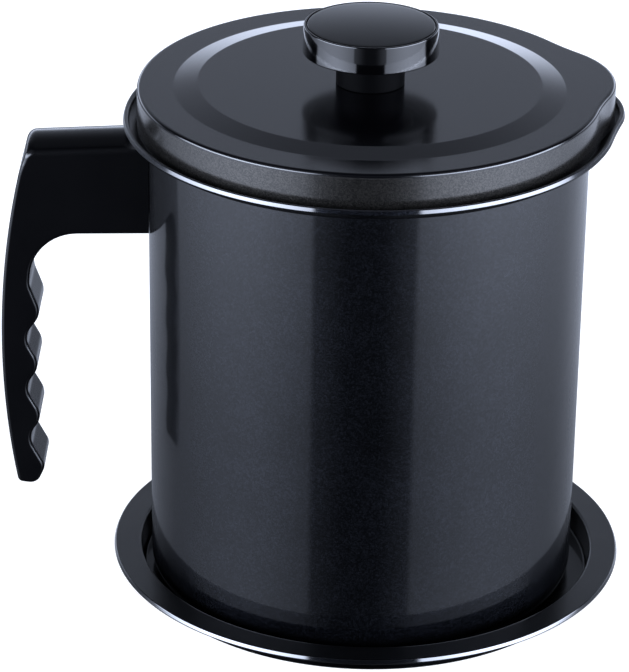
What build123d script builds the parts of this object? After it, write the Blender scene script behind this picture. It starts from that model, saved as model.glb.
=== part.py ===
from build123d import *
import os
from math import acos, atan2, cos, degrees, hypot, radians

# Grease pot with strainer, lid, side handle and saucer tray.
# Millimetres, +Z up. The origin is the centre of the tray's flat underside. The handle points
# along -X and the spout along +X. Heights are above the tray's underside, and radii and x
# places of the pot, strainer, lid and handle are from the pot's own axis.

# Saucer tray
tray_sheet = 0.8
tray_floor_radius = 62.9
tray_well_radius = 63.8
tray_rim_radius = 71.6
tray_rim_height = 7.7
tray_bead = 0.8
tray_bends = [0.7, 0.8]

# Pot
pot_sheet = 0.8
pot_foot_radius = 59.4
pot_shoulder_radius = 60.1
pot_bends = [4.2, 0.9]
pot_axis_x = -1.4
seat_gap = 0.05
rim_height = 136.75
rim_radius = 66.9
rim_bead = 0.95
ledge_drop = 3.05
ledge_start_radius = 62.0

# Pour spout, and the lid's bulge over it
spout_bearing = 12.0
spout_reach = 3.9
spout_tip_radius = 29.0
spout_blend_radius = 212.0
bulge_reach = 4.7
bulge_tip_radius = 30.0
bulge_blend_radius = 84.0

# Lid
lid_sheet = 0.7
lid_radius = 63.05
lid_height = 145.35
lid_edge_radius = 1.0
crown_rise = 1.15
crown_foot_radius = 53.2
crown_top_radius = 46.6

# Knob, with its insert, washer and screw
knob_radius = 18.5
knob_neck_radius = 9.3
knob_underside = 155.45
knob_side_height = 7.5
knob_draft = 0.3
knob_dome = 0.72
knob_edge_radius = 0.35
knob_core_inner = 11.5
knob_core_outer = 16.4
knob_core_depth = 3.0
insert_radius = 4.0
insert_bottom_gap = 0.3
insert_top_drop = 0.45
insert_groove = 0.4
insert_groove_width = 1.6
knob_thread_radius = 2.5
thread_gap = 0.05
hole_gap = 0.25
washer_radius = 6.0
washer_height = 1.0
knob_screw_length = 9.0
knob_screw_end_gap = 0.5
knob_screw_head_radius = 4.75
knob_screw_head_height = 3.2
knob_screw_head_rounding = 1.2
knob_screw_recess = (5.0, 1.8)

# Strainer
strainer_sheet = 0.5
flange_radius = 62.9
basket_top_radius = 58.2
basket_foot_radius = 56.6
basket_depth = 22.0
basket_lip = 5.5
basket_bends = [1.0, 1.5]
mesh_wire = 0.4
mesh_sag = 3.0
mesh_inset = 2.0
hoop_height = 0.8
hoop_inset = 1.0

# Handle. Its finger side turns at these (x, height) places, first into a groove, then over a crest.
handle_width = 17.0
back_rounding = 1.8
finger_rounding = 1.2
arm_start_x = -55.2
arm_top = 132.0
arm_top_drop = 2.25
arm_crown = 2.6
arm_corner_radius = 2.8
arm_underside = 103.9
grip_back_x = -100.5
grip_back_height = 69.8
grip_back_radius = 235.0
grip_end_height = 27.2
grip_end_corner = (-91.4, 26.6)
last_crest = (-88.9, 32.2)
groove_turns = [(-92.7, 41.2), (-90.4, 47.5), (-93.3, 56.4), (-90.9, 63.3), (-93.3, 71.8), (-90.4, 79.0)]
first_groove = (-92.6, 87.7)
finger_corner = (-91.3, 103.9)
end_corner_radius = 2.5
last_crest_radius = 3.2
groove_radius = 5.4
groove_slope = 33.0
first_groove_radius = 6.0
finger_corner_radius = 12.0
wall_gap = 0.15

# Handle bracket, its weld nut and the screw from below
socket_floor = 109.5
socket_roof = 125.5
socket_width = 10.4
socket_end_x = -83.0
bracket_sheet = 1.6
bracket_width = 10.0
bracket_gap = 0.6
tongue_height = 116.0
tongue_end_x = -81.0
screw_x = -73.0
screw_radius = 1.95
screw_head_radius = 3.5
screw_head_height = 2.4
screw_head_rounding = 0.9
screw_recess = (4.0, 1.4)
screw_past_nut = 1.0
counterbore_top = 107.0
counterbore_gap = 0.5
nut_across_flats = 7.0
nut_height = 3.2

pot_base = tray_sheet + seat_gap
ledge_top = rim_height - ledge_drop
bead_height = rim_height - rim_bead
flange_base = ledge_top + seat_gap
basket_foot = flange_base - basket_depth
lid_base = flange_base + strainer_sheet + seat_gap
crown_top = lid_height + crown_rise
crown_inside = crown_top - lid_sheet
knob_screw_seat = crown_inside - washer_height
insert_top = knob_underside - insert_top_drop
nut_base = tongue_height + bracket_sheet
pot_axis = Pos(pot_axis_x, 0, 0)
screw_axis = Pos(screw_x, 0, 0)


def turned(points):
    """A closed (radius, height) outline turned about Z."""
    outline = Polyline(*[(r, 0, z) for r, z in points], close=True)
    return revolve(make_face(outline), Axis.Z)


def ring(inner, outer, low, high):
    """A plain ring between two radii and two heights, or a disc when the inner radius is zero."""
    return turned([(inner, low), (outer, low), (outer, high), (inner, high)])


def block(x_low, x_high, width, z_low, z_high):
    """A box centred on y = 0."""
    return Pos((x_low + x_high) / 2, 0, (z_low + z_high) / 2) * Box(x_high - x_low, width, z_high - z_low)


def slab(outline, low, high):
    """A closed flat outline made solid between two heights."""
    return extrude(Pos(0, 0, low) * make_face(outline.edges()), high - low)


def pressed_sheet(points, bend_radii, thickness, side):
    """A sheet of one thickness, turned about Z: a line with rounded bends, thickened to one side."""
    line = FilletPolyline(*points, radius=bend_radii)
    strip = make_face(offset(line, thickness, side=side, closed=True).edges())
    return revolve(Plane.XZ * strip, Axis.Z)


def screw_head(radius, height, rounding, recess):
    """A pan head that hangs below z = 0, with a cross recess in its underside."""
    head = ring(0, radius, -height, 0)
    head = fillet(head.edges().filter_by(GeomType.CIRCLE).group_by(Axis.Z)[0], rounding)
    width, depth = recess
    bar = Pos(0, 0, -height) * Box(width, width / 4, 2 * depth)
    return head - bar - Rot(0, 0, 90) * bar


def lipped_outline(radius, reach, tip_radius, blend_radius, grow):
    """A circle with one rounded nose towards the spout, all tangent arcs, grown by an even amount."""
    nose_centre = radius + reach - tip_radius
    circle, nose, blend = radius + grow, tip_radius + grow, blend_radius - grow
    to_blend, nose_to_blend = circle + blend, nose + blend
    bearing = acos((to_blend**2 + nose_centre**2 - nose_to_blend**2) / (2 * to_blend * nose_centre))
    blend_x, blend_y = to_blend * cos(bearing), to_blend * (1 - cos(bearing) ** 2) ** 0.5
    circle_x, circle_y = blend_x * circle / to_blend, blend_y * circle / to_blend
    nose_x = nose_centre + (blend_x - nose_centre) * nose / nose_to_blend
    nose_y = blend_y * nose / nose_to_blend
    mid_x, mid_y = (circle_x + nose_x) / 2 - blend_x, (circle_y + nose_y) / 2 - blend_y
    scale = blend / hypot(mid_x, mid_y)
    mid_x, mid_y = blend_x + mid_x * scale, blend_y + mid_y * scale
    arcs = [
        ThreePointArc((circle_x, circle_y), (-circle, 0), (circle_x, -circle_y)),
        ThreePointArc((circle_x, -circle_y), (mid_x, -mid_y), (nose_x, -nose_y)),
        ThreePointArc((nose_x, -nose_y), (nose_centre + nose, 0), (nose_x, nose_y)),
        ThreePointArc((nose_x, nose_y), (mid_x, mid_y), (circle_x, circle_y)),
    ]
    return Rot(0, 0, spout_bearing) * Wire(arcs)


def rim_outline(grow):
    """The upstand's middle line, which the rolled rim follows, grown by an even amount."""
    return lipped_outline(rim_radius - rim_bead, spout_reach, spout_tip_radius, spout_blend_radius, grow)


def lid_outline(grow):
    """The lid skirt's outside, grown by an even amount."""
    return lipped_outline(lid_radius, bulge_reach, bulge_tip_radius, bulge_blend_radius, grow)


def pot_envelope(grow):
    """The pot's tapered outside, to cut what fits against its wall."""
    return turned([(0, pot_base), (pot_foot_radius + grow, pot_base),
                   (pot_shoulder_radius + grow, ledge_top), (0, ledge_top)])


def make_drip_tray():
    """Shallow pressed saucer: flat floor, steep wall, flat rim and a rolled edge."""
    edge_radius = tray_rim_radius - tray_bead
    top_line = [(0, tray_sheet), (tray_floor_radius, tray_sheet),
                (tray_well_radius, tray_rim_height), (edge_radius, tray_rim_height)]
    sheet = pressed_sheet(top_line, tray_bends, tray_sheet, Side.RIGHT)
    return sheet + Pos(0, 0, tray_rim_height - tray_bead / 2) * Torus(edge_radius, tray_bead)


def make_pot_body():
    """Drawn body with a ledge at the top, an upstand that follows the spout, and a rolled rim."""
    floor_top = pot_base + pot_sheet
    inner_line = [(0, floor_top), (pot_foot_radius - pot_sheet, floor_top),
                  (pot_shoulder_radius - pot_sheet, ledge_top), (ledge_start_radius + pot_sheet, ledge_top)]
    body = pressed_sheet(inner_line, pot_bends, pot_sheet, Side.RIGHT)
    half = pot_sheet / 2
    ledge = slab(rim_outline(half), ledge_top - pot_sheet, ledge_top)
    ledge -= ring(0, ledge_start_radius, ledge_top - 2 * pot_sheet, ledge_top + pot_sheet)
    upstand = slab(rim_outline(half), ledge_top - pot_sheet, bead_height)
    upstand -= slab(rim_outline(-half), ledge_top - pot_sheet, bead_height)
    path = Pos(0, 0, bead_height) * rim_outline(0)
    bead = sweep(Plane(path @ 0, z_dir=path % 0) * Circle(rim_bead), path=path)
    return body + ledge + upstand + bead


def make_lid_shell():
    """Pressed lid: a skirt that follows the lid's outline, and a raised crown with a screw hole."""
    shell = slab(lid_outline(0), lid_base, lid_height)
    shell = fillet(shell.edges().group_by(Axis.Z)[-1], lid_edge_radius)
    crown = turned([(0, lid_height - lid_sheet), (crown_foot_radius, lid_height - lid_sheet),
                    (crown_foot_radius, lid_height), (crown_top_radius, crown_top), (0, crown_top)])
    hollow = slab(lid_outline(-lid_sheet), lid_base, lid_height - lid_sheet)
    hollow += Pos(0, 0, -lid_sheet) * crown
    return shell + crown - hollow - ring(0, knob_thread_radius + hole_gap, lid_base, crown_top)


def make_lid_knob():
    """Mushroom knob with a slightly tapered side, a domed top, a cored underside and an insert pocket."""
    side_top = knob_underside + knob_side_height
    narrow_radius = knob_radius - knob_draft
    cap = turned([(0, knob_underside), (knob_radius, knob_underside), (narrow_radius, side_top), (0, side_top)])
    cap = fillet(cap.edges().filter_by(GeomType.CIRCLE).group_by(Axis.Z)[-1], knob_edge_radius)
    flat_radius = narrow_radius - knob_edge_radius
    dome_radius = (flat_radius**2 + knob_dome**2) / (2 * knob_dome)
    dome = Pos(0, 0, side_top + knob_dome - dome_radius) * Sphere(dome_radius)
    dome &= ring(0, flat_radius, side_top, side_top + knob_dome)
    core = ring(knob_core_inner, knob_core_outer, knob_underside, knob_underside + knob_core_depth)
    neck = ring(0, knob_neck_radius, crown_top, knob_underside)
    return cap + dome + neck - core - ring(0, insert_radius, crown_top, insert_top)


def make_knob_insert():
    """Threaded insert moulded into the knob, with one groove that locks it in."""
    low = crown_top + insert_bottom_gap
    groove_low = (low + insert_top - insert_groove_width) / 2
    groove = ring(insert_radius - insert_groove, insert_radius, groove_low, groove_low + insert_groove_width)
    bore = ring(0, knob_thread_radius, low, knob_screw_seat + knob_screw_length + knob_screw_end_gap)
    return ring(0, insert_radius, low, insert_top) - groove - bore


def make_knob_washer():
    """Flat washer between the lid and the knob's screw."""
    return ring(knob_thread_radius + hole_gap, washer_radius, knob_screw_seat, crown_inside)


def make_knob_screw():
    """Pan head screw from inside the lid, up into the knob's insert."""
    shank = ring(0, knob_thread_radius - thread_gap, knob_screw_seat, knob_screw_seat + knob_screw_length)
    head = screw_head(
        knob_screw_head_radius, knob_screw_head_height, knob_screw_head_rounding, knob_screw_recess)
    return shank + Pos(0, 0, knob_screw_seat) * head


def make_strainer_frame():
    """Flange, tapered basket wall and an inward lip at its foot."""
    top, foot = flange_base + strainer_sheet, basket_foot + strainer_sheet
    line = [(flange_radius, top), (basket_top_radius - strainer_sheet, top),
            (basket_foot_radius - strainer_sheet, foot), (basket_foot_radius - basket_lip, foot)]
    return pressed_sheet(line, basket_bends, strainer_sheet, Side.LEFT)


def make_strainer_mesh():
    """The woven disc's own volume: a flat edge, and a shallow bowl inside the hoop."""
    inner, outer = basket_foot_radius - basket_lip, basket_foot_radius - mesh_inset
    top, bottom = basket_foot, basket_foot - mesh_wire
    bowl = ThreePointArc((0, top - mesh_sag), (inner / 2, top - 0.75 * mesh_sag), (inner, top))
    section = make_face([
        bowl,
        Line((inner, top), (outer, top)),
        Line((outer, top), (outer, bottom)),
        Line((outer, bottom), (inner, bottom)),
        Pos(0, -mesh_wire) * bowl,
        Line((0, bottom - mesh_sag), (0, top - mesh_sag))])
    return revolve(Plane.XZ * section, Axis.Z)


def make_strainer_hoop():
    """Flat ring that holds the mesh up against the basket's lip."""
    high = basket_foot - mesh_wire
    inner = basket_foot_radius - basket_lip + hoop_inset
    return ring(inner, basket_foot_radius - hoop_inset, high - hoop_height, high)


def grip_back(height):
    """The point of the handle's bowed back at a height."""
    rise = height - grip_back_height
    return grip_back_x + grip_back_radius - (grip_back_radius**2 - rise**2) ** 0.5, height


def handle_outline():
    """The handle's side view: straight arm, bowed back, rounded end and a wavy finger side."""
    top_corner, end_corner = grip_back(arm_top - arm_top_drop), grip_back(grip_end_height)
    cut_off = groove_radius * (1 / cos(radians(groove_slope)) - 1)
    waves = [(x + (cut_off if i % 2 else -cut_off), z) for i, (x, z) in enumerate(groove_turns)]
    finger_side = FilletPolyline(
        end_corner, grip_end_corner, last_crest, *waves, first_groove, finger_corner,
        (arm_start_x, arm_underside),
        radius=[end_corner_radius, last_crest_radius, *[groove_radius] * len(waves),
                first_groove_radius, finger_corner_radius])
    face = make_face([
        Line((arm_start_x, arm_top), top_corner),
        ThreePointArc(top_corner, grip_back(grip_back_height), end_corner),
        *finger_side.edges(),
        Line((arm_start_x, arm_underside), (arm_start_x, arm_top))])
    return fillet(face.vertices().sort_by_distance(Vector(*top_corner))[0], arm_corner_radius)


def arm_crown_cut():
    """What lies above the arm's crowned top: a block less a cylinder along the sloping top line."""
    back_x, back_height = grip_back(arm_top - arm_top_drop)
    half = handle_width / 2
    crown_radius = (half**2 + arm_crown**2) / (2 * arm_crown)
    slope = degrees(atan2(arm_top_drop, arm_start_x - back_x))
    middle = Pos((arm_start_x + back_x) / 2, 0, (arm_top + back_height) / 2 - crown_radius / cos(radians(slope)))
    above = block(back_x - 4, arm_start_x + 1, handle_width + 4, arm_top - 3 * arm_crown, arm_top + 2)
    return above - middle * Rot(0, 90 - slope, 0) * Cylinder(crown_radius, 120)


def make_handle_grip():
    """Moulded handle: rounded slab with finger grooves, a socket for the bracket and a screw hole."""
    end_x = grip_back(grip_end_height)[0]

    def side_edges(part, on_back):
        def wanted(edge):
            at = edge.center()
            on_side = abs(at.Y) > handle_width / 2 - wall_gap and at.X < arm_start_x - wall_gap
            return on_side and on_back == (at.X < end_x + wall_gap or at.Z > arm_top - 2 * arm_corner_radius)
        return part.edges().filter_by(wanted)

    grip = Pos(0, handle_width / 2, 0) * extrude(Plane.XZ * handle_outline(), handle_width)
    grip = fillet(side_edges(grip, True), back_rounding)
    grip = fillet(side_edges(grip, False), finger_rounding)
    grip -= arm_crown_cut()
    grip -= pot_envelope(wall_gap)
    grip -= block(socket_end_x, arm_start_x, socket_width, socket_floor, socket_roof)
    counterbore_low = arm_underside - screw_head_height
    counterbore = ring(0, screw_head_radius + counterbore_gap, counterbore_low, counterbore_top)
    return grip - screw_axis * (counterbore + ring(0, screw_radius + hole_gap, counterbore_low, socket_floor))


def make_handle_bracket():
    """Steel foot welded to the pot's wall, with a tongue that reaches into the handle's arm."""
    foot_x = -pot_shoulder_radius - bracket_sheet - bracket_gap
    foot = block(foot_x, arm_start_x, bracket_width, socket_floor + bracket_gap, socket_roof - bracket_gap)
    tongue = block(tongue_end_x, arm_start_x, bracket_width, tongue_height, nut_base)
    hole = screw_axis * ring(0, screw_radius + hole_gap, socket_floor, socket_roof)
    return foot + tongue - pot_envelope(0) - hole


def make_bracket_nut():
    """Hexagon weld nut on the bracket's tongue."""
    hexagon = RegularPolygon(nut_across_flats / 2, 6, major_radius=False)
    nut = slab(hexagon, nut_base, nut_base + nut_height)
    return screw_axis * (nut - ring(0, screw_radius + thread_gap, nut_base, nut_base + nut_height))


def make_handle_screw():
    """Pan head screw from below, through the handle's arm and the bracket, into the weld nut."""
    shank = ring(0, screw_radius, counterbore_top, nut_base + nut_height + screw_past_nut)
    head = screw_head(screw_head_radius, screw_head_height, screw_head_rounding, screw_recess)
    return screw_axis * (shank + Pos(0, 0, counterbore_top) * head)


nodes_on_pot_axis = {
    "pot_body": make_pot_body,
    "handle_bracket": make_handle_bracket,
    "bracket_nut": make_bracket_nut,
    "handle_grip": make_handle_grip,
    "handle_screw": make_handle_screw,
    "strainer_frame": make_strainer_frame,
    "strainer_mesh": make_strainer_mesh,
    "strainer_hoop": make_strainer_hoop,
    "lid_shell": make_lid_shell,
    "lid_knob": make_lid_knob,
    "knob_insert": make_knob_insert,
    "knob_washer": make_knob_washer,
    "knob_screw": make_knob_screw,
}

os.makedirs("parts", exist_ok=True)
export_step(make_drip_tray(), "parts/drip_tray.step")
for name, make in nodes_on_pot_axis.items():
    export_step(pot_axis * make(), f"parts/{name}.step")
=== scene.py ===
import bmesh
import bpy
import numpy as np
from mathutils import Matrix


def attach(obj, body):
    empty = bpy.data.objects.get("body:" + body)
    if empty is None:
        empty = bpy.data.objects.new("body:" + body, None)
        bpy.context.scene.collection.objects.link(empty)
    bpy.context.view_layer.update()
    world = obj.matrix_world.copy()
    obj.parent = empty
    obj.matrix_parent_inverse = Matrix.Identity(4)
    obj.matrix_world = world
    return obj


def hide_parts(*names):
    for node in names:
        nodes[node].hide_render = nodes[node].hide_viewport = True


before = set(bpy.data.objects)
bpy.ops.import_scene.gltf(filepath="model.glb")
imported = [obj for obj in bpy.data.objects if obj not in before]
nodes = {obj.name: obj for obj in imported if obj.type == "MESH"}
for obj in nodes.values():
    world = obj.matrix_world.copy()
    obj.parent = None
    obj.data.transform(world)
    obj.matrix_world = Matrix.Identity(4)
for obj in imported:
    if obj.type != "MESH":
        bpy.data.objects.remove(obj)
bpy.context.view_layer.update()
mm = 0.001
potAxis = -1.4  # the pot, strainer, lid and handle stand this far along X from the tray's centre


# Node graphs

class Signal:
    # One socket's output. A sum on signals adds its Math nodes.
    def __init__(self, graph, socket):
        self.graph = graph
        self.socket = socket

    def maths(self, operation, first, second):
        return self.graph.signal("ShaderNodeMath", {"operation": operation}, {0: first, 1: second})

    def __add__(self, other):
        return self.maths("ADD", self, other)

    def __radd__(self, other):
        return self.maths("ADD", other, self)

    def __sub__(self, other):
        return self.maths("SUBTRACT", self, other)

    def __rsub__(self, other):
        return self.maths("SUBTRACT", other, self)

    def __mul__(self, other):
        return self.maths("MULTIPLY", self, other)

    def __rmul__(self, other):
        return self.maths("MULTIPLY", other, self)


class Graph:
    # The nodes of one material, or of the world.
    def __init__(self, owner):
        owner.use_nodes = True
        self.tree = owner.node_tree
        self.tree.nodes.clear()

    def node(self, kind, settings=None, sockets=None):
        # a node of this type: its settings first, then each socket's value or link
        made = self.tree.nodes.new(kind)
        for name, value in (settings or {}).items():
            setattr(made, name, value)
        for name, value in (sockets or {}).items():
            if isinstance(value, Signal):
                self.tree.links.new(value.socket, made.inputs[name])
            else:
                made.inputs[name].default_value = value
        return made

    def signal(self, kind, settings=None, sockets=None, output=0):
        return Signal(self, self.node(kind, settings, sockets).outputs[output])

    def step(self, value, start, end, low=0.0, high=1.0):
        # a smooth rise from low at start to high at end
        return self.signal("ShaderNodeMapRange", {"interpolation_type": "SMOOTHSTEP"},
                           {0: value, 1: start, 2: end, 3: low, 4: high})

    def mix(self, share, first, second):
        # two colours, mixed by a share
        return self.signal("ShaderNodeMix", {"data_type": "RGBA"},
                           {0: share, 6: first, 7: second}, 2)

    def place(self):
        # the point on the piece, in metres
        return self.signal("ShaderNodeTexCoord", output="Object")

    def parts(self, vector):
        split = self.node("ShaderNodeSeparateXYZ", sockets={0: vector})
        return [Signal(self, s) for s in split.outputs]

    def noise(self, where, scale, detail=2.0, roughness=0.5):
        return self.signal("ShaderNodeTexNoise", sockets={
            "Vector": where, "Scale": scale, "Detail": detail, "Roughness": roughness})

    def cells(self, where, scale):
        # one random number for each small cell
        colour = self.signal("ShaderNodeTexVoronoi", sockets={"Vector": where, "Scale": scale}, output="Color")
        return Signal(self, self.node("ShaderNodeSeparateColor", sockets={0: colour}).outputs[0])

    def bump(self, height, distance, strength=1.0):
        return self.signal("ShaderNodeBump", sockets={
            "Height": height, "Distance": distance, "Strength": strength})


def finish(name, surface):
    # a material whose surface function returns the sockets of its Principled shader
    material = bpy.data.materials.new(name)
    graph = Graph(material)
    shader = graph.signal("ShaderNodeBsdfPrincipled", sockets=surface(graph))
    graph.node("ShaderNodeOutputMaterial", sockets={"Surface": shader})
    return material


# Camera

view = {"rise": 24.94, "distance": 1085.33, "aimHeight": 68.54, "roll": 1.22,
        "lens": 222.81, "shift": (-0.088, 0.0115)}


def makeCamera():
    # forward falls by the rise angle, and the side and up directions turn about it by the roll
    rise, roll = np.radians(view["rise"]), np.radians(view["roll"])
    forward = np.array([0, np.cos(rise), -np.sin(rise)])
    level, upright = np.array([1.0, 0, 0]), np.array([0, np.sin(rise), np.cos(rise)])
    side = level * np.cos(roll) + upright * np.sin(roll)
    up = upright * np.cos(roll) - level * np.sin(roll)
    place = np.array([0, 0, view["aimHeight"]]) - forward * view["distance"]
    lens = bpy.data.cameras.new("camera")
    lens.sensor_fit = "HORIZONTAL"
    lens.lens = view["lens"]
    lens.shift_x, lens.shift_y = view["shift"]
    lens.clip_start, lens.clip_end = 0.05, 20
    camera = bpy.data.objects.new("camera", lens)
    columns = np.column_stack([side, up, -forward, place * mm])
    camera.matrix_world = Matrix([*columns.tolist(), [0, 0, 0, 1]])
    bpy.context.scene.collection.objects.link(camera)
    bpy.context.scene.camera = camera


makeCamera()
print("camera placed")


# Studio: the world's light by direction, and a pale floor

studio = {
    # the light's colour, the least light anywhere, and a dim patch high in front with where it starts and fades
    "tint": (0.725, 0.805, 1), "gap": 0.02,
    "gapHigh": 0.12, "gapFrom": (15, 35), "gapTo": (44, 60), "gapSides": (30, 60),
    # Two big soft boxes. Angles are degrees round from the front towards the box's side: where it starts and ends,
    # and where it is brightest. It fades over its reach to its least share, and inside its inner edge to a haze.
    "leftBox": {"inner": (22.5, 25.5), "outer": (98, 104), "peak": 58, "reach": 48, "least": 0.4, "haze": 0},
    "rightBox": {"inner": (22.5, 25.5), "outer": (101, 107), "peak": 66, "reach": 55, "least": 0.45, "haze": 0},
    "boxAbove": 24.0, "boxHigh": 0.4, "boxHighFrom": (20.5, 24), "boxTop": (60, 68),
    # What the table sends back of them, under the horizon. Its outer edges are past 180 degrees, so it goes all
    # round. It falls from one brightness to the other between two angles, ends further down, and behind the
    # object it is dimmer near the horizon.
    "leftTable": {"inner": (26, 29.5), "outer": (190, 200), "peak": 60, "reach": 66, "least": 0.2, "haze": 0.28},
    "rightTable": {"inner": (24.5, 28), "outer": (190, 200), "peak": 62, "reach": 70, "least": 0.25, "haze": 0.28},
    "tableBright": (3.55, 0.85), "tableFalls": (-18.4, -28), "tableRight": 1.1, "tableEnds": (-46, -32, 0.12),
    "tableBehind": (96, 114), "tableNear": (-20, -12, 0.28),
    # a glow low at the back, the wall behind it, what the camera itself sees, and the floor
    "backGlow": 3.3, "backGlowFades": (4, 20), "glowFrom": (112, 128), "glowLeft": 0.82,
    "backWall": 0.48, "backWallTop": (24, 60), "wallFrom": (126, 150), "wallHigh": 0.25,
    "seen": 1.05, "floor": 0.5, "floorGlow": 0.8,
}


def softBox(g, away, box):
    # Between its edges a box falls from its peak to its least share as a smooth step of the distance from the peak.
    inner = g.step(away, *box["inner"], box["haze"], 1) * g.step(away, 6, box["inner"][0], 0.1, 1)
    off = g.signal("ShaderNodeMath", {"operation": "ABSOLUTE"}, {0: away - box["peak"]})
    return inner * g.step(away, *box["outer"], 1, 0) * g.step(off, 0, box["reach"], 1, box["least"])


def makeWorld():
    # brightness is a function of two angles: round the horizon from the front, and above it
    world = bpy.data.worlds.new("studio")
    bpy.context.scene.world = world
    g = Graph(world)
    x, y, z = g.parts(g.signal("ShaderNodeTexCoord", output="Generated"))
    degrees = 180 / np.pi
    turn = g.signal("ShaderNodeMath", {"operation": "ARCTAN2"}, {0: x, 1: y * -1}) * degrees
    above = g.signal("ShaderNodeMath", {"operation": "ARCSINE"}, {0: z}) * degrees
    aside = g.signal("ShaderNodeMath", {"operation": "ABSOLUTE"}, {0: turn})
    left = turn * -1
    over = g.step(above, -4, 2)
    top = g.step(above, *studio["boxTop"], 1, 0)
    boxes = softBox(g, left, studio["leftBox"]) + softBox(g, turn, studio["rightBox"])
    high = g.step(above, *studio["boxHighFrom"], studio["boxAbove"], studio["boxHigh"])
    bright, dim = studio["tableBright"]
    falls, lowest = studio["tableFalls"]
    table = softBox(g, left, studio["leftTable"]) + softBox(g, turn, studio["rightTable"]) * studio["tableRight"]
    far = g.step(aside, *studio["tableBehind"])
    table = table * (1 - far + far * g.step(above, *studio["tableNear"][:2], 1, studio["tableNear"][2]))
    below = table * g.step(above, lowest, falls, dim, bright) * g.step(above, *studio["tableEnds"], 1)
    glow = g.step(aside, *studio["glowFrom"]) * g.step(above, *studio["backGlowFades"], studio["backGlow"], 0)
    glow = glow * g.step(x, -0.1, 0.1, studio["glowLeft"], 1)
    wall = g.step(aside, *studio["wallFrom"]) * studio["backWall"]
    wall = wall * g.step(above, *studio["backWallTop"], 1, studio["wallHigh"])
    patch = g.step(above, *studio["gapFrom"], 0, studio["gapHigh"]) * g.step(above, *studio["gapTo"], 1, 0)
    gap = studio["gap"] + patch * g.step(aside, *studio["gapSides"], 1, 0)
    light = over * (boxes * high * top + glow + wall) + (1 - over) * below + gap
    seen = g.signal("ShaderNodeLightPath", output="Is Camera Ray")
    power = seen * studio["seen"] + (1 - seen) * light
    colour = g.mix(seen, (*studio["tint"], 1), (1, 1, 1, 1))
    sky = g.signal("ShaderNodeBackground", sockets={"Color": colour, "Strength": power})
    g.node("ShaderNodeOutputWorld", sockets={"Surface": sky})


def makeFloor():
    # a wide flat disc just under the tray, which the coating's reflections pass through
    around = np.linspace(0, 2 * np.pi, 96, endpoint=False)
    reach, drop = 6.0, -0.0001
    rim = np.column_stack([reach * np.cos(around), reach * np.sin(around), np.full(96, drop)])
    mesh = bpy.data.meshes.new("floor")
    mesh.from_pydata(rim.tolist(), [], [list(range(96))])
    floor = bpy.data.objects.new("floor", mesh)
    bpy.context.scene.collection.objects.link(floor)
    floor.visible_glossy = floor.visible_shadow = floor.visible_diffuse = False
    pale = studio["floor"]

    def surface(g):
        # a little light of its own keeps the shadow under the tray soft
        tone = g.noise(g.place(), 3.0)
        return {"Base Color": g.mix(tone, (pale, pale, pale, 1), (pale * 1.02, pale * 1.02, pale * 1.02, 1)),
                "Roughness": 0.9, "Specular IOR Level": 0.1, "Emission Color": (1, 1, 1, 1),
                "Emission Strength": studio["floorGlow"]}
    mesh.materials.append(finish("paleFloor", surface))


makeWorld()
makeFloor()
bpy.context.scene.view_settings.view_transform = "Standard"
print("studio lit")


# Mesh tools

def roundedLine(corners, bends, steps=8, hold=0.15):
    # Straight runs joined by arcs that touch both runs. A held point just outside each arc keeps flats flat.
    corners = [np.array(c, float) for c in corners]
    points = [corners[0]]
    for before, corner, after, bend in zip(corners, corners[1:], corners[2:], bends):
        back, on = before - corner, after - corner
        room = 0.49 * min(np.linalg.norm(back), np.linalg.norm(on))
        back, on = back / np.linalg.norm(back), on / np.linalg.norm(on)
        half = np.arccos(np.clip(back @ on, -1, 1)) / 2
        reach = bend / np.tan(half)
        centre = corner + (back + on) / np.linalg.norm(back + on) * bend / np.sin(half)
        start, end = corner + back * reach - centre, corner + on * reach - centre
        swing = np.pi - 2 * half
        t = np.linspace(0, 1, steps + 1)[:, None]
        arc = centre + (np.sin((1 - t) * swing) * start + np.sin(t * swing) * end) / np.sin(swing)
        held = max(reach, min(reach + hold, room))
        points += [corner + back * held, *arc, corner + on * held] if held > reach else [*arc]
    return np.array([*points, corners[-1]])


def addMesh(name, points, faces, body, replaced=(), material=None, smooth=True):
    # Millimetre points become one piece of the object. Faces are turned to point outwards by the volume's sign.
    mesh = bpy.data.meshes.new(name)
    mesh.from_pydata((points * mm).tolist(), [], [f for group in faces for f in group.tolist()])
    mesh.validate()
    triangles = mesh.loop_triangles
    mesh.calc_loop_triangles()
    tri = np.zeros(len(triangles) * 3, int)
    triangles.foreach_get("vertices", tri)
    co = np.zeros(len(mesh.vertices) * 3)
    mesh.vertices.foreach_get("co", co)
    a, b, c = co.reshape(-1, 3)[tri.reshape(-1, 3)].transpose(1, 0, 2)
    if (a * np.cross(b, c)).sum() < 0:
        mesh.flip_normals()
    mesh.polygons.foreach_set("use_smooth", np.full(len(mesh.polygons), smooth))
    mesh.materials.append(material)
    piece = bpy.data.objects.new(name, mesh)
    bpy.context.scene.collection.objects.link(piece)
    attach(piece, body)
    if replaced:
        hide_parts(*replaced)
    print(name, len(triangles), "triangles")
    return piece


def otherFinish(piece, material, wanted):
    # faces whose centre and normal pass a test get another material
    mesh = piece.data
    index = np.zeros(len(mesh.polygons), np.int32)
    mesh.polygons.foreach_get("material_index", index)
    centres, normals = np.zeros(len(mesh.polygons) * 3), np.zeros(len(mesh.polygons) * 3)
    mesh.polygons.foreach_get("center", centres)
    mesh.polygons.foreach_get("normal", normals)
    picked = wanted(centres.reshape(-1, 3) / mm, normals.reshape(-1, 3))
    mesh.materials.append(material)
    mesh.polygons.foreach_set("material_index", np.where(picked, len(mesh.materials) - 1, index).astype(np.int32))


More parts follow.
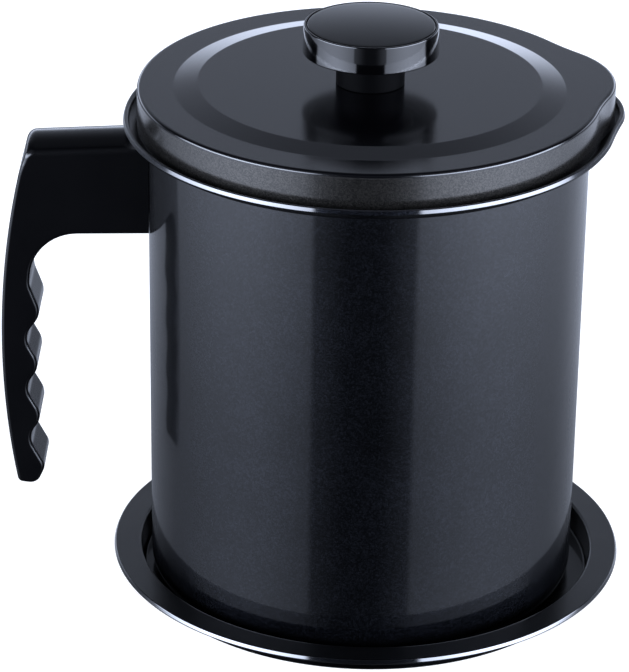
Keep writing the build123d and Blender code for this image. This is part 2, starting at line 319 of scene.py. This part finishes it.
def gridFaces(rings, looped):
    # Rings of points (rows, columns, 3), joined round by quads. A row on the axis becomes one point with triangles.
    rows, columns = rings.shape[:2]
    number = np.arange(rows * columns).reshape(rows, columns)
    poles = [] if looped else [r for r in (0, -1) if np.ptp(rings[r], axis=0).max() < 1e-6]
    for r in poles:
        number[r] = number[r, 0]
    last = rows if looped else rows - 1
    low, high = number[:last], np.roll(number, -1, axis=0)[:last] if looped else number[1:]
    quads = np.stack([low, np.roll(low, -1, 1), np.roll(high, -1, 1), high], axis=-1)
    first, end = (1 if 0 in poles else 0), (last - 1 if -1 in poles else last)
    groups = [quads[first:end].reshape(-1, 4)]
    if 0 in poles:
        groups.append(quads[0][:, [0, 2, 3]])
    if -1 in poles:
        groups.append(quads[-1][:, [0, 1, 2]])
    used, where = np.unique(np.concatenate([g.ravel() for g in groups]), return_inverse=True)
    sizes = np.cumsum([g.size for g in groups])[:-1]
    groups = [w.reshape(-1, g.shape[1]) for w, g in zip(np.split(where, sizes), groups)]
    return rings.reshape(-1, 3)[used], groups


def turned(profile, columns=192, centre=potAxis):
    # a (radius, height) profile carried round a vertical axis
    around = np.linspace(0, 2 * np.pi, columns, endpoint=False)
    radius, height = profile[:, :1], profile[:, 1:]
    return np.stack([centre + radius * np.cos(around), radius * np.sin(around),
                     np.broadcast_to(height, (len(profile), columns))], axis=-1)


def lippedRadius(turn, radius, reach, tip, blend):
    # A circle with one rounded nose, joined by hollow arcs: the distance from the axis at each angle from the nose.
    noseAt = radius + reach - tip
    toBlend, noseToBlend = radius + blend, tip + blend
    lean = np.arccos((toBlend**2 + noseAt**2 - noseToBlend**2) / (2 * toBlend * noseAt))
    bx, by = toBlend * np.cos(lean), toBlend * np.sin(lean)
    noseEnd = np.arctan2(by * tip / noseToBlend, noseAt + (bx - noseAt) * tip / noseToBlend)
    away = np.abs((turn + np.pi) % (2 * np.pi) - np.pi)
    along = np.cos(away) * noseAt
    nose = along + np.sqrt(np.maximum(along**2 - (noseAt**2 - tip**2), 0))
    along = np.cos(away) * bx + np.sin(away) * by
    hollow = along - np.sqrt(np.maximum(along**2 - (bx**2 + by**2 - blend**2), 0))
    return np.where(away >= lean, radius, np.where(away <= noseEnd, nose, hollow))


def lipped(profile, outline, roundWithin, followsFrom, columns=480):
    # A (radius, height) profile carried round the pot's axis. Inside one radius it stays round. From a second
    # radius out it keeps its distance from the lipped outline, measured square to it.
    around = np.linspace(0, 2 * np.pi, columns, endpoint=False)
    rim = lippedRadius(around - np.radians(outline["bearing"]), outline["radius"], outline["reach"],
                       outline["tip"], outline["blend"])
    x, y = rim * np.cos(around), rim * np.sin(around)
    alongX, alongY = np.roll(x, -1) - np.roll(x, 1), np.roll(y, -1) - np.roll(y, 1)
    length = np.hypot(alongX, alongY)
    outX, outY = alongY / length, -alongX / length
    radius, height = profile[:, :1], profile[:, 1:]
    off = radius - outline["radius"]
    share = np.clip((radius - roundWithin) / (followsFrom - roundWithin), 0, 1)
    px = (1 - share) * radius * np.cos(around) + share * (x + off * outX)
    py = (1 - share) * radius * np.sin(around) + share * (y + off * outY)
    return np.stack([potAxis + px, py, np.broadcast_to(height, px.shape)], axis=-1)


# Coatings and plastics

coat = {"dark": (0.0022, 0.0025, 0.0032, 1), "light": (0.0118, 0.0128, 0.0163, 1), "fleck": 3400, "roughness": 0.4}


def potCoatSurface(blur, index):
    # fine metallic flecks under a clear coat that blurs what it mirrors a little
    def surface(g):
        where = g.place()
        fleck = g.cells(where, coat["fleck"]) * 0.6 + g.cells(where, coat["fleck"] * 0.55) * 0.4
        cloud = g.noise(where, 60, 3)
        share = g.step(fleck * 0.75 + cloud * 0.25, 0.3, 0.95)
        return {"Base Color": g.mix(share, coat["dark"], coat["light"]), "Metallic": 1.0,
                "Roughness": g.step(cloud, 0.3, 0.7, coat["roughness"] - 0.03, coat["roughness"] + 0.03),
                "Normal": g.bump(fleck, 0.00002, 0.25),
                "Coat Weight": 1.0, "Coat Roughness": blur, "Coat IOR": index}
    return surface


potCoat = finish("potCoat", potCoatSurface(0.09, 1.5))
rimCoat = finish("rimCoat", potCoatSurface(0.07, 1.62))


def potInsideAndPaintedShadeSurface(g):
    # the same coating without its gloss, inside the pot. On the ledge under the lid and on the rolled rim's top it is
    # painted shade: a dull dark finish that keeps them dark where the real coating is glossy
    where = g.place()
    cloud = g.noise(where, 40, 3)
    speck = g.cells(where, 2200)
    return {"Base Color": g.mix(cloud * 0.5 + speck * 0.5, (0.004, 0.004, 0.005, 1), (0.011, 0.011, 0.013, 1)),
            "Roughness": g.step(cloud, 0.3, 0.7, 0.42, 0.52), "Normal": g.bump(speck, 0.00002, 0.3),
            "Specular IOR Level": 0.35}


potInsideAndPaintedShade = finish("potInsideAndPaintedShade", potInsideAndPaintedShadeSurface)

trayTone = {"dark": (0.0008, 0.0009, 0.0012, 1), "light": (0.003, 0.0033, 0.0042, 1)}


def trayCoatSurface(gloss, index):
    # the same coating with finer fleck
    def surface(g):
        where = g.place()
        fleck = g.cells(where, 3000)
        cloud = g.noise(where, 45, 3)
        return {"Base Color": g.mix(fleck * 0.7 + cloud * 0.3, trayTone["dark"], trayTone["light"]), "Metallic": 1.0,
                "Roughness": g.step(cloud, 0.3, 0.7, 0.4, 0.46), "Normal": g.bump(fleck, 0.00001, 0.2),
                "Coat Weight": gloss, "Coat Roughness": 0.07, "Coat IOR": index}
    return surface


trayCoat = finish("trayCoat", trayCoatSurface(0.38, 1.5))
trayEdge = finish("trayEdge", trayCoatSurface(1.0, 1.75))

lidTone = {"top": (0.0005, 0.0005, 0.0008, 1), "skirtDark": (0.015, 0.0142, 0.0128, 1),
           "skirtLight": (0.046, 0.0428, 0.038, 1), "skirtFrom": (143.9, 144.5)}


def lidCoatSurface(g):
    # satin on top, and a coarser warm speckle on the skirt
    where = g.place()
    x, y, height = g.parts(where)
    low, high = (z * mm for z in lidTone["skirtFrom"])
    skirt = g.step(height, low, high, 1, 0)
    speckle = g.cells(where, 3600) * 0.6 + g.noise(where, 1900, 2) * 0.4
    grain = g.noise(where, 2500, 2)
    skirtTone = g.mix(g.step(speckle, 0.25, 0.8), lidTone["skirtDark"], lidTone["skirtLight"])
    return {"Base Color": g.mix(skirt, lidTone["top"], skirtTone), "Metallic": skirt * 0.9,
            "Roughness": 0.15 + skirt * 0.12 + grain * 0.01, "Coat Weight": skirt, "Coat Roughness": 0.18,
            "Normal": g.bump(speckle * skirt + grain * 0.1, 0.00003, 0.25)}


lidCoat = finish("lidCoat", lidCoatSurface)


def handlePlasticSurface(g):
    # near black moulding with a very fine texture
    where = g.place()
    grain = g.noise(where, 2200, 3)
    cloud = g.noise(where, 90, 2)
    return {"Base Color": g.mix(cloud, (0.0006, 0.0006, 0.0008, 1), (0.0010, 0.0010, 0.0012, 1)),
            "Roughness": 0.19 + cloud * 0.04, "Normal": g.bump(grain, 0.00002, 0.2), "Specular IOR Level": 0.32}


handlePlastic = finish("handlePlastic", handlePlasticSurface)

knobLook = {"sideTop": (162.85, 162.95)}


def knobPlasticSurface(g):
    # a polished side and a satin top
    where = g.place()
    x, y, height = g.parts(where)
    low, high = (z * mm for z in knobLook["sideTop"])
    top = g.step(height, low, high)
    grain = g.noise(where, 2600, 2)
    return {"Base Color": g.mix(grain, (0.0002, 0.0002, 0.0003, 1), (0.0004, 0.0004, 0.0005, 1)),
            "Roughness": 0.1 + top * 0.22, "Normal": g.bump(grain * top, 0.00002, 0.2),
            "Coat Weight": 1 - top, "Coat Roughness": 0.03, "Coat IOR": 1.5, "Specular IOR Level": 0.14}


knobPlastic = finish("knobPlastic", knobPlasticSurface)


def knobMattAndShadeSurface(g):
    # the neck, the underside and the groove round the dome are left matt; their near-black colour with almost no
    # reflection is painted shade under the cap and in the groove
    where = g.place()
    grain = g.noise(where, 1800, 3)
    return {"Base Color": g.mix(grain, (0.0001, 0.0001, 0.0002, 1), (0.0003, 0.0003, 0.0004, 1)),
            "Roughness": g.step(grain, 0.3, 0.7, 0.5, 0.6), "Normal": g.bump(grain, 0.00003, 0.3),
            "Specular IOR Level": 0.03}


knobMattAndShade = finish("knobMattAndShade", knobMattAndShadeSurface)


def metal(name, dark, light, roughness, stretch=(1, 1, 1), scale=400, bumpHeight=0.00001):
    # bare metal with fine drawing or turning marks, drawn out along one direction
    def surface(g):
        where = g.signal("ShaderNodeMapping", sockets={"Vector": g.place(), "Scale": stretch})
        mark = g.noise(where, scale, 4, 0.6)
        cloud = g.noise(g.place(), 60, 2)
        return {"Base Color": g.mix(mark * 0.7 + cloud * 0.3, (*dark, 1), (*light, 1)), "Metallic": 1.0,
                "Roughness": g.step(mark, 0.3, 0.7, roughness - 0.06, roughness + 0.06),
                "Normal": g.bump(mark, bumpHeight, 0.4)}
    return finish(name, surface)


strainerSteel = metal("strainerSteel", (0.52, 0.51, 0.50), (0.68, 0.67, 0.66), 0.22, (1, 1, 8), 300)
meshSteel = metal("meshSteel", (0.50, 0.50, 0.50), (0.66, 0.66, 0.66), 0.3, scale=900)
bracketSteel = metal("bracketSteel", (0.36, 0.36, 0.36), (0.52, 0.52, 0.52), 0.42, (1, 6, 1), 350)
screwSteel = metal("screwSteel", (0.52, 0.52, 0.54), (0.70, 0.70, 0.72), 0.24, (1, 1, 6), 900)
insertBrass = metal("insertBrass", (0.66, 0.48, 0.24), (0.80, 0.62, 0.36), 0.28, (1, 1, 8), 900)

cadFinishes = {
    "handle_bracket": bracketSteel, "bracket_nut": bracketSteel, "handle_screw": screwSteel,
    "strainer_frame": strainerSteel, "strainer_hoop": strainerSteel, "strainer_mesh": meshSteel,
    "knob_insert": insertBrass, "knob_washer": screwSteel, "knob_screw": screwSteel,
    "pot_body": potCoat, "drip_tray": trayCoat, "lid_shell": lidCoat,
    "lid_knob": knobPlastic, "handle_grip": handlePlastic,
}
for name, material in cadFinishes.items():
    mesh = nodes[name].data
    if not mesh.materials:
        mesh.materials.append(material)
    for place in range(len(mesh.materials)):
        mesh.materials[place] = material
print("finishes made")


# Saucer tray

tray = {"sheet": 0.8, "floor": 62.9, "well": 63.8, "rim": 71.6, "height": 7.7, "bead": 0.8}


def makeTray():
    # The profile goes out over the top side, round the hemmed edge, whose outer face leans inwards, and back in
    # underneath.
    edge = tray["rim"] - tray["bead"]
    profile = roundedLine([(0, tray["sheet"]), (tray["floor"], tray["sheet"]), (tray["well"], tray["height"]),
                           (tray["rim"] - 0.45, tray["height"]), (tray["rim"] - 0.02, tray["height"] - 1.15),
                           (edge + 0.1, tray["height"] - 1.6), (edge - 1.0, tray["height"] - tray["sheet"]),
                           (tray["well"] + 0.8, tray["height"] - tray["sheet"]), (tray["floor"] + 0.7, 0), (0, 0)],
                          [0.7, 0.8, 0.3, 0.3, 0.4, 0.3, 0.4, 1.5])
    points, faces = gridFaces(turned(profile, 320, 0), False)
    piece = addMesh("tray_pressing", points, faces, "tray", ["drip_tray"], trayCoat)

    def onEdge(centre, normal):
        # the hemmed edge's outer face
        r = np.hypot(centre[:, 0], centre[:, 1])
        outwards = (normal[:, 0] * centre[:, 0] + normal[:, 1] * centre[:, 1]) / r
        return (r > tray["rim"] - 0.75) & (outwards > 0.25)
    otherFinish(piece, trayEdge, onEdge)


makeTray()


# Pot

pot = {"sheet": 0.8, "foot": 59.4, "shoulder": 60.1, "base": 0.85, "footBend": 5.0,
       "ledge": 133.7, "ledgeEnd": 63.0, "bead": 0.95, "beadHeight": 135.8}
rimOutline = {"bearing": 12.0, "radius": 65.95, "reach": 3.9, "tip": 29.0, "blend": 212.0}


def makePot():
    # The profile goes from the middle of the base up the outside, under the ledge and its sloping border, round
    # the rolled rim, whose outer face is flattened and leans inwards, and back over the ledge and down the inside.
    half, sheet = pot["sheet"] / 2, pot["sheet"]
    middle, under = rimOutline["radius"], pot["ledge"] - pot["sheet"]
    neckHeight = pot["beadHeight"] - 0.86
    outside = roundedLine([(0, pot["base"]), (pot["foot"], pot["base"]), (pot["shoulder"], under),
                           (pot["ledgeEnd"], under), (middle + half, neckHeight)],
                          [pot["footBend"], 0.5, 1.0])
    bead = roundedLine([(half, -0.8), (0.9, -0.22), (0.57, 0.84), (0, pot["bead"]), (-0.62, 0.6), (-0.88, -0.45),
                        (-half, -0.86)], [0.25, 0.14, 0.6, 0.5, 0.4], 8, 0.03) + (middle, pot["beadHeight"])
    inside = roundedLine([(middle - half, neckHeight), (pot["ledgeEnd"], pot["ledge"]),
                          (pot["shoulder"] - sheet, pot["ledge"]), (pot["foot"] - sheet, pot["base"] + sheet),
                          (0, pot["base"] + sheet)], [0.6, 0.9, 4.2])
    profile = np.vstack([outside, bead, inside])
    points, faces = gridFaces(lipped(profile, rimOutline, 62.0, 64.6), False)
    piece = addMesh("pot_shell", points, faces, "pot", ["pot_body"], potCoat)

    def onInsideAndShadedLedge(centre, normal):
        # inside the wall, or on the ledge and its sloping border, where the dull finish is painted shade
        r = np.hypot(centre[:, 0] - potAxis, centre[:, 1])
        wall = pot["foot"] + (pot["shoulder"] - pot["foot"]) * centre[:, 2] / pot["ledge"]
        within = (r < wall - sheet / 2) & (centre[:, 2] > pot["base"] + sheet / 2)
        return within | ((centre[:, 2] > pot["ledge"] - 0.3) & (centre[:, 2] < neckHeight) & (normal[:, 2] > 0.3))
    otherFinish(piece, potInsideAndPaintedShade, onInsideAndShadedLedge)

    def onRim(centre, normal):
        # the rolled rim's outer face
        r = np.hypot(centre[:, 0] - potAxis, centre[:, 1])
        outwards = (normal[:, 0] * (centre[:, 0] - potAxis) + normal[:, 1] * centre[:, 1]) / r
        return (centre[:, 2] > pot["beadHeight"] - 0.9) & (outwards > 0.45)
    otherFinish(piece, rimCoat, onRim)

    def onShadedRimTop(centre, normal):
        # the rolled rim's top, where the dull finish is painted shade
        return (centre[:, 2] > pot["beadHeight"] - 0.5) & ~onRim(centre, normal)
    otherFinish(piece, potInsideAndPaintedShade, onShadedRimTop)


makePot()


# Lid

lid = {"sheet": 0.7, "base": 134.3, "height": 145.35, "edge": 1.0, "rise": 1.15,
       "crownFoot": 53.2, "crownTop": 46.6, "hole": 2.75}
lidOutline = {"bearing": 12.0, "radius": 63.05, "reach": 4.7, "tip": 30.0, "blend": 84.0}


def makeLid():
    # The profile goes from the screw hole over the crown, the flat and the rounded edge down the skirt, and
    # comes back inside.
    r, sheet, top = lidOutline["radius"], lid["sheet"], lid["height"]
    over = roundedLine([(lid["hole"], top + lid["rise"] - sheet / 2), (lid["hole"], top + lid["rise"]),
                        (lid["crownTop"], top + lid["rise"]), (lid["crownFoot"], top), (r, top), (r, lid["base"])],
                       [0.1, 1.6, 1.6, lid["edge"]])
    hem = roundedLine([(r, lid["base"] + 0.2), (r, lid["base"]), (r - sheet, lid["base"]),
                       (r - sheet, lid["base"] + 0.2)], [0.15, 0.15], 4, 0)
    inner = roundedLine([(r - sheet, lid["base"] + 0.3), (r - sheet, top - sheet), (lid["crownFoot"], top - sheet),
                         (lid["crownTop"], top + lid["rise"] - sheet), (lid["hole"], top + lid["rise"] - sheet),
                         (lid["hole"], top + lid["rise"] - sheet * 0.55)], [0.4, 1.6, 1.6, 0.1])
    profile = np.vstack([over[:-1], hem, inner])
    points, faces = gridFaces(lipped(profile, lidOutline, 54.0, 61.5), True)
    addMesh("lid_pressing", points, faces, "lid", ["lid_shell"], lidCoat)


makeLid()


# Knob

knob = {"radius": 18.5, "neck": 9.3, "seat": 146.5, "under": 155.45, "sideTop": 162.95, "draft": 0.3, "dome": 0.72,
        "edge": 0.32, "capEdge": 0.3, "groove": (0.3, 0.4), "core": (11.5, 16.4, 3.0), "pocket": (4.0, 155.0)}


def makeKnob():
    # The profile goes from the insert's pocket down the neck's foot, up the neck, round the cored underside and
    # the slightly tapered side, through a fine groove, and over a dome whose height falls with the square of the
    # radius.
    inner, outer, depth = knob["core"]
    pocket, roof = knob["pocket"]
    under, top, radius = knob["under"], knob["sideTop"], knob["radius"]
    wide, deep = knob["groove"]
    narrow = radius - knob["draft"]
    lip = narrow - 2 * knob["edge"]
    cap = lip - wide
    shape = roundedLine(
        [(0, roof), (pocket, roof), (pocket, knob["seat"]), (knob["neck"], knob["seat"]), (knob["neck"], under),
         (inner, under), (inner, under + depth), (outer, under + depth), (outer, under), (radius, under),
         (narrow, top), (lip, top), (lip, top - deep), (cap, top - deep), (cap, top), (cap - 1.2, top + 0.09)],
        [0.2, 0.2, 0.3, 0.4, 0.3, 0.4, 0.4, 0.3, 0.25, knob["edge"], 0.1, 0.08, 0.08, knob["capEdge"]], 6)
    r = np.linspace(cap - 1.2, 0, 18)
    dome = np.column_stack([r, top + knob["dome"] * (1 - (r / cap) ** 2)])
    points, faces = gridFaces(turned(np.vstack([shape[:-1], dome]), 192), False)
    piece = addMesh("knob_moulding", points, faces, "lid", ["lid_knob"], knobPlastic)

    def unpolishedAndShaded(centre, normal):
        # the underside, the neck with its cored hollow, and the groove round the dome: matt, and dark as painted
        # shade
        r = np.hypot(centre[:, 0] - potAxis, centre[:, 1])
        return ((centre[:, 2] < under + 0.12) | ((r < outer + 0.5) & (centre[:, 2] < top - 1))
                | ((centre[:, 2] < top - 0.08) & (r < lip + 0.1) & (r > cap - 0.1)))
    otherFinish(piece, knobMattAndShade, unpolishedAndShaded)


makeKnob()


# Handle

handle = {
    "width": 17.0, "start": -55.2, "top": 132.0, "topDrop": 2.25, "topCorner": 2.8, "under": 103.9,
    "backX": -100.49, "backHeight": 69.8, "backRadius": 235.0, "endHeight": 27.2,
    "end": (-91.4, 26.6), "lastCrest": (-88.9, 32.2),
    "turns": [(-92.7, 41.2), (-90.4, 47.5), (-93.3, 56.4), (-90.9, 63.3), (-93.3, 71.8), (-90.4, 79.0)],
    "firstGroove": (-92.6, 87.7), "fingerCorner": (-91.3, 102.9), "fingerBend": 13.5,
    "grooveRadius": 5.4, "cutOff": 1.04, "crown": 2.6, "crownFrom": (119.5, 129.6), "faceRing": 0.3,
    "backRound": 0.9, "topRound": 1.1, "fingerRound": 1.0, "endRound": 1.0, "endRoundTo": (27, 35), "wallGap": 0.15,
    "screw": -73.0, "hole": 2.2, "counterbore": (4.0, 107.0), "socket": (-83.0, 10.4, 109.5, 125.5),
}


def gripBack(height):
    # the bowed back is an arc of a large circle
    h = handle
    return h["backX"] + h["backRadius"] - np.sqrt(h["backRadius"] ** 2 - (height - h["backHeight"]) ** 2)


def handleOutline():
    # straight arm, rounded top corner, bowed back, rounded end, and arcs in and out along the finger side
    h = handle
    topZ = h["top"] - h["topDrop"]
    heights = np.linspace(topZ - 9, h["endHeight"] + 4, 60)
    back = np.column_stack([gripBack(heights), heights])
    turns = [(x + (h["cutOff"] if i % 2 else -h["cutOff"]), z) for i, (x, z) in enumerate(h["turns"])]
    top = roundedLine([(h["start"], h["top"]), (gripBack(topZ), topZ), back[0]], [h["topCorner"]], 12)[:-1]
    low = [back[-1], (gripBack(h["endHeight"]), h["endHeight"]), h["end"], h["lastCrest"], *turns,
           h["firstGroove"], h["fingerCorner"], (h["start"], h["under"])]
    bends = [1.6, 3.0, 3.2, *[h["grooveRadius"]] * len(turns), 6.0, h["fingerBend"]]
    line = np.vstack([top, back[:-1], roundedLine(low, bends, 12, 0)])
    return line


def evenly(line, gap):
    # the same line with points at nearly even gaps
    along = np.concatenate([[0], np.cumsum(np.linalg.norm(np.diff(line, axis=0), axis=1))])
    keep = np.concatenate([[True], np.diff(along) > 1e-6])
    at = np.linspace(0, along[-1], int(along[-1] / gap))
    return np.column_stack([np.interp(at, along[keep], line[keep, 0]), np.interp(at, along[keep], line[keep, 1])])


def boreHandle(piece):
    # the screw's stepped hole from below, a turned profile, and the bracket's socket, a box, are cut out
    h = handle
    wide, roof = h["counterbore"]
    end, across, floor, ceiling = h["socket"]
    profile = np.array([(0, h["under"] - 6), (wide, h["under"] - 6), (wide, roof), (h["hole"], roof),
                        (h["hole"], floor + 1), (0, floor + 1)])
    drill = gridFaces(turned(profile, 48, potAxis + h["screw"]), False)
    x, y, z = np.meshgrid([end + potAxis, h["start"] + 4], [-across / 2, across / 2], [floor, ceiling], indexing="ij")
    box = np.column_stack([x.ravel(), y.ravel(), z.ravel()])
    sides = [np.array([[0, 1, 3, 2], [4, 6, 7, 5], [0, 4, 5, 1], [2, 3, 7, 6], [0, 2, 6, 4], [1, 5, 7, 3]])]
    for points, faces in (drill, (box, sides)):
        mesh = bpy.data.meshes.new("cutter")
        mesh.from_pydata((points * mm).tolist(), [], [f for group in faces for f in group.tolist()])
        shape = bmesh.new()
        shape.from_mesh(mesh)
        bmesh.ops.recalc_face_normals(shape, faces=shape.faces)
        shape.to_mesh(mesh)
        shape.free()
        cutter = bpy.data.objects.new("cutter", mesh)
        bpy.context.scene.collection.objects.link(cutter)
        cut = piece.modifiers.new("cut", "BOOLEAN")
        cut.operation, cut.solver, cut.object = "DIFFERENCE", "EXACT", cutter
        bpy.context.view_layer.update()
        made = bpy.data.meshes.new_from_object(piece.evaluated_get(bpy.context.evaluated_depsgraph_get()))
        piece.modifiers.remove(cut)
        piece.data = made
        bpy.data.objects.remove(cutter)
    piece.data.set_sharp_from_angle(angle=np.radians(50))
    print("handle bored,", len(piece.data.polygons), "faces")


def makeHandle():
    # Each point of the outline is carried across the width. Near both faces it moves inwards on a quarter circle
    # whose radius changes along the outline, and a last ring inside it keeps the face flat. The arm's top also
    # sinks with the square of the distance from the middle, which fades out down the back by a smooth step.
    # What would enter the pot is moved out to its wall.
    h = handle
    line = evenly(handleOutline(), 0.45)
    step = np.roll(line, -1, 0) - np.roll(line, 1, 0)
    step[0], step[-1] = line[1] - line[0], line[-1] - line[-2]
    step /= np.linalg.norm(step, axis=1)[:, None]
    inward = np.column_stack([step[:, 1], -step[:, 0]]) * -1
    x, z = line.T
    onBack = x < gripBack(z) + 1.5
    onTop = z > h["top"] - h["topDrop"] - h["topCorner"]
    high = np.clip((z - h["crownFrom"][0]) / (h["crownFrom"][1] - h["crownFrom"][0]), 0, 1)
    crown = h["crown"] * high ** 2 * (3 - 2 * high)
    nearEnd = np.clip((z - h["endRoundTo"][0]) / (h["endRoundTo"][1] - h["endRoundTo"][0]), 0, 1)
    radius = np.where(onTop, h["topRound"], np.where(onBack, h["backRound"], h["fingerRound"]))
    radius = np.where(onBack, h["endRound"] + (radius - h["endRound"]) * nearEnd, radius)
    radius = np.convolve(np.pad(radius, 5, mode="edge"), np.ones(11) / 11, "valid")
    quarter = np.linspace(0, np.pi / 2, 9)
    half = h["width"] / 2
    turn = np.concatenate([[0], quarter, np.full(15, np.pi / 2), quarter[::-1], [0]])
    sideways = np.concatenate([-np.ones(10), np.linspace(-1, 1, 17)[1:-1], np.ones(10)])
    inset = np.zeros(len(turn))
    inset[[0, -1]] = h["faceRing"]
    rings = []
    for t, s, more in zip(turn, sideways, inset):
        across = s * (half - radius * (1 - np.cos(t)))
        ring = line + inward * (radius * (1 - np.sin(t)) + more)[:, None]
        ring[:, 1] -= crown * (across / half) ** 2
        rings.append((ring, across))
    grid = np.array([np.column_stack([p[:, 0], y, p[:, 1]]) for p, y in rings])
    wall = pot["foot"] + (pot["shoulder"] - pot["foot"]) * (grid[..., 2] - pot["base"]) / (pot["ledge"] - pot["base"])
    limit = -np.sqrt((wall + h["wallGap"]) ** 2 - grid[..., 1] ** 2)
    grid[..., 0] = np.minimum(grid[..., 0], limit)
    grid[..., 0] += potAxis
    rows, columns = grid.shape[:2]
    number = np.arange(rows * columns).reshape(rows, columns)
    quads = np.stack([number[:-1], np.roll(number, -1, 1)[:-1], np.roll(number, -1, 1)[1:], number[1:]], -1)
    faces = [quads.reshape(-1, 4), number[:1, ::-1], number[-1:]]
    piece = addMesh("handle_moulding", grid.reshape(-1, 3), faces, "pot", ["handle_grip"],
                    handlePlastic)
    boreHandle(piece)


makeHandle()


# Strainer weave

weave = {"pitch": 1.4, "wire": 0.12, "wave": 0.085, "reach": 54.3, "flat": 51.1, "top": 111.55, "sag": 2.95}


def makeWeave():
    # Wires in two directions. Each follows the shallow bowl, plus a cosine that passes over and under the wires
    # it crosses. A square ring of points is carried along each.
    w = weave
    count = int(w["reach"] / w["pitch"])
    ring = np.array([(1, 0), (0, 1), (-1, 0), (0, -1)]) * w["wire"]
    points, faces, start = [], [], 0
    for direction in (0, 1):
        for k in range(-count, count + 1):
            across = k * w["pitch"]
            reach = np.sqrt(w["reach"] ** 2 - across**2)
            if reach < 2 * w["pitch"]:
                continue
            along = np.linspace(-reach, reach, max(int(4 * reach / w["pitch"]) + 1, 6))
            r = np.hypot(along, across)
            bowl = w["top"] - w["sag"] * np.clip(1 - (r / w["flat"]) ** 2, 0, None)
            phase = np.pi * (along / w["pitch"] + k + direction)
            height = bowl + w["wave"] * np.cos(phase)
            line = np.column_stack([along, np.full_like(along, across), height])
            tube = line[:, None, :] + np.stack([np.zeros(4), ring[:, 0], ring[:, 1]], -1)[None]
            if direction:
                tube = tube[..., [1, 0, 2]]
            n = len(line)
            number = start + np.arange(n * 4).reshape(n, 4)
            quads = np.stack([number[:-1], np.roll(number, -1, 1)[:-1], np.roll(number, -1, 1)[1:], number[1:]], -1)
            if direction:
                quads = quads[..., ::-1]
            points.append(tube.reshape(-1, 3) + (potAxis, 0, 0))
            ends = np.array([number[0][::-1], number[-1]])
            faces += [quads.reshape(-1, 4), ends[:, ::-1] if direction else ends]
            start += n * 4
    addMesh("strainer_weave", np.vstack(points), faces, "strainer", ["strainer_mesh"], meshSteel)


makeWeave()
print("pieces made")
